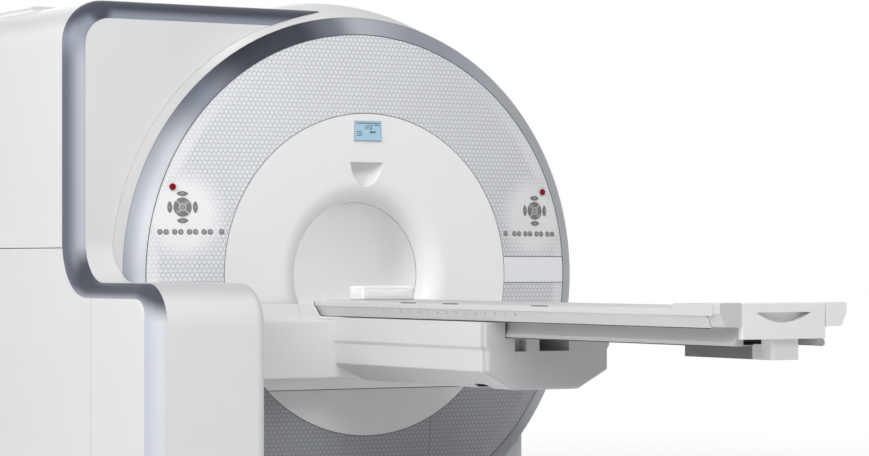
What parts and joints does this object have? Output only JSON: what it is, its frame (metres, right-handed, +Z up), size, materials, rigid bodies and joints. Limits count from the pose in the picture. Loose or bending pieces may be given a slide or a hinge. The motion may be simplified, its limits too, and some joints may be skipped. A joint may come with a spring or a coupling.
{
  "type": "mri scanner",
  "caption": "Cylindrical imaging scanner with a flared round face, a narrow patient bore, a side tower and pedestal, and a cantilevered patient table that rises and slides into the bore.",
  "frame": {"origin": "on the floor under the isocentre, at the middle of the base's cross beam", "axes": "+Z up, +Y from the patient side into the bore, +X to the right of a person who faces the bore"},
  "size_m": [2.42, 4.766, 2.317],
  "materials": {
    "cover_white": "satin painted composite",
    "panel_grey": "satin with a fine honeycomb pattern",
    "trim_blue_grey": "satin blue-grey paint",
    "bore_plastic": "satin moulded composite",
    "scoop_white": "satin",
    "display_frame": "light grey frame round a pale blue display",
    "window_glass": "small tinted pane",
    "key_rubber": "grey silicone",
    "key_plastic": "grey moulded keys",
    "stop_red": "red",
    "base_paint": "grey powder coat",
    "screw_steel": "ground steel",
    "skirt_grey": "satin",
    "vessel_steel": "welded stainless steel",
    "coil_resin": "cast epoxy resin",
    "wedge_rubber": "dark",
    "detector_aluminium": "bead blasted",
    "coil_copper": "copper on glass fibre",
    "table_shell": "satin painted composite",
    "dock_plastic": "satin grey",
    "cushion_cover": "wipe-clean vinyl-coated foam"
  },
  "bodies": {
    "gantry": {"bare_plate": "cover_white", "base_frame": "base_paint", "body_coil": "coil_copper", "bore_liner": "bore_plastic", "control_plate_left": "cover_white", "control_plate_right": "cover_white", "detector_ring": "detector_aluminium", "display_module": "display_frame", "drum_cover_front": "cover_white", "drum_cover_rear": "cover_white", "edge_trim": "trim_blue_grey", "face_panel": "panel_grey", "front_funnel": "cover_white", "funnel_lower_panel": "cover_white", "gradient_coil": "coil_resin", "gradient_wedges": "wedge_rubber", "key_mat_left": "key_rubber", "key_mat_right": "key_rubber", "laser_housing": "scoop_white", "laser_window": "window_glass", "lift_column": "base_paint", "lift_screw": "screw_steel", "magnet_vessel": "vessel_steel", "pedestal_cover": "cover_white", "pedestal_side_cover": "cover_white", "plinth_skirt": "skirt_grey", "rear_cover": "cover_white", "rear_roof_cover": "cover_white", "side_cover_lower": "cover_white", "side_cover_upper": "cover_white", "tower_front_panel": "cover_white", "trim_ring": "trim_blue_grey"},
    "table_base": {"lift_carriage": "base_paint", "arm_beam": "base_paint", "arm_cover": "cover_white", "table_housing": "cover_white", "housing_nose": "cover_white"},
    "table_top": {"table_board": "table_shell", "table_rail": "table_shell", "end_cover": "table_shell", "corner_cap_left": "table_shell", "corner_cap_right": "table_shell", "dock_frame": "dock_plastic", "head_cushion": "cushion_cover"},
    "left_centre_key_body": {"left_centre_key": "key_plastic"},
    "left_upper_half_key_body": {"left_upper_half_key": "key_plastic"},
    "left_lower_half_key_body": {"left_lower_half_key": "key_plastic"},
    "left_up_key_body": {"left_up_key": "key_plastic"},
    "left_down_key_body": {"left_down_key": "key_plastic"},
    "left_left_key_body": {"left_left_key": "key_plastic"},
    "left_right_key_body": {"left_right_key": "key_plastic"},
    "right_centre_key_body": {"right_centre_key": "key_plastic"},
    "right_upper_half_key_body": {"right_upper_half_key": "key_plastic"},
    "right_lower_half_key_body": {"right_lower_half_key": "key_plastic"},
    "right_up_key_body": {"right_up_key": "key_plastic"},
    "right_down_key_body": {"right_down_key": "key_plastic"},
    "right_left_key_body": {"right_left_key": "key_plastic"},
    "right_right_key_body": {"right_right_key": "key_plastic"},
    "stop_button_left_body": {"stop_button_left": "stop_red"},
    "stop_button_right_body": {"stop_button_right": "stop_red"}
  },
  "joints": [
    {"name": "table_lift", "type": "slide", "parent": "gantry", "child": "table_base", "axis": [0, 0, 1], "range_m": [-0.45, 0]},
    {"name": "table_slide", "type": "slide", "parent": "table_base", "child": "table_top", "axis": [0, 1, 0], "range_m": [0, 1.85]},
    {"name": "left_centre_key_press", "type": "slide", "parent": "gantry", "child": "left_centre_key_body", "axis": [0.1237, 0.9915, -0.04], "range_m": [0, 0.0015], "stiffness_N_per_m": 400, "springref_m": -0.002},
    {"name": "left_upper_half_key_press", "type": "slide", "parent": "gantry", "child": "left_upper_half_key_body", "axis": [0.1237, 0.9915, -0.04], "range_m": [0, 0.0015], "stiffness_N_per_m": 400, "springref_m": -0.002},
    {"name": "left_lower_half_key_press", "type": "slide", "parent": "gantry", "child": "left_lower_half_key_body", "axis": [0.1237, 0.9915, -0.04], "range_m": [0, 0.0015], "stiffness_N_per_m": 400, "springref_m": -0.002},
    {"name": "left_up_key_press", "type": "slide", "parent": "gantry", "child": "left_up_key_body", "axis": [0.1237, 0.9915, -0.04], "range_m": [0, 0.0015], "stiffness_N_per_m": 400, "springref_m": -0.002},
    {"name": "left_down_key_press", "type": "slide", "parent": "gantry", "child": "left_down_key_body", "axis": [0.1237, 0.9915, -0.04], "range_m": [0, 0.0015], "stiffness_N_per_m": 400, "springref_m": -0.002},
    {"name": "left_left_key_press", "type": "slide", "parent": "gantry", "child": "left_left_key_body", "axis": [0.1237, 0.9915, -0.04], "range_m": [0, 0.0015], "stiffness_N_per_m": 400, "springref_m": -0.002},
    {"name": "left_right_key_press", "type": "slide", "parent": "gantry", "child": "left_right_key_body", "axis": [0.1237, 0.9915, -0.04], "range_m": [0, 0.0015], "stiffness_N_per_m": 400, "springref_m": -0.002},
    {"name": "right_centre_key_press", "type": "slide", "parent": "gantry", "child": "right_centre_key_body", "axis": [-0.1237, 0.9915, -0.04], "range_m": [0, 0.0015], "stiffness_N_per_m": 400, "springref_m": -0.002},
    {"name": "right_upper_half_key_press", "type": "slide", "parent": "gantry", "child": "right_upper_half_key_body", "axis": [-0.1237, 0.9915, -0.04], "range_m": [0, 0.0015], "stiffness_N_per_m": 400, "springref_m": -0.002},
    {"name": "right_lower_half_key_press", "type": "slide", "parent": "gantry", "child": "right_lower_half_key_body", "axis": [-0.1237, 0.9915, -0.04], "range_m": [0, 0.0015], "stiffness_N_per_m": 400, "springref_m": -0.002},
    {"name": "right_up_key_press", "type": "slide", "parent": "gantry", "child": "right_up_key_body", "axis": [-0.1237, 0.9915, -0.04], "range_m": [0, 0.0015], "stiffness_N_per_m": 400, "springref_m": -0.002},
    {"name": "right_down_key_press", "type": "slide", "parent": "gantry", "child": "right_down_key_body", "axis": [-0.1237, 0.9915, -0.04], "range_m": [0, 0.0015], "stiffness_N_per_m": 400, "springref_m": -0.002},
    {"name": "right_left_key_press", "type": "slide", "parent": "gantry", "child": "right_left_key_body", "axis": [-0.1237, 0.9915, -0.04], "range_m": [0, 0.0015], "stiffness_N_per_m": 400, "springref_m": -0.002},
    {"name": "right_right_key_press", "type": "slide", "parent": "gantry", "child": "right_right_key_body", "axis": [-0.1237, 0.9915, -0.04], "range_m": [0, 0.0015], "stiffness_N_per_m": 400, "springref_m": -0.002},
    {"name": "stop_button_left_press", "type": "slide", "parent": "gantry", "child": "stop_button_left_body", "axis": [0.1237, 0.9915, -0.04], "range_m": [0, 0.004], "stiffness_N_per_m": 800, "springref_m": -0.002},
    {"name": "stop_button_right_press", "type": "slide", "parent": "gantry", "child": "stop_button_right_body", "axis": [-0.1237, 0.9915, -0.04], "range_m": [0, 0.004], "stiffness_N_per_m": 800, "springref_m": -0.002}
  ]
}
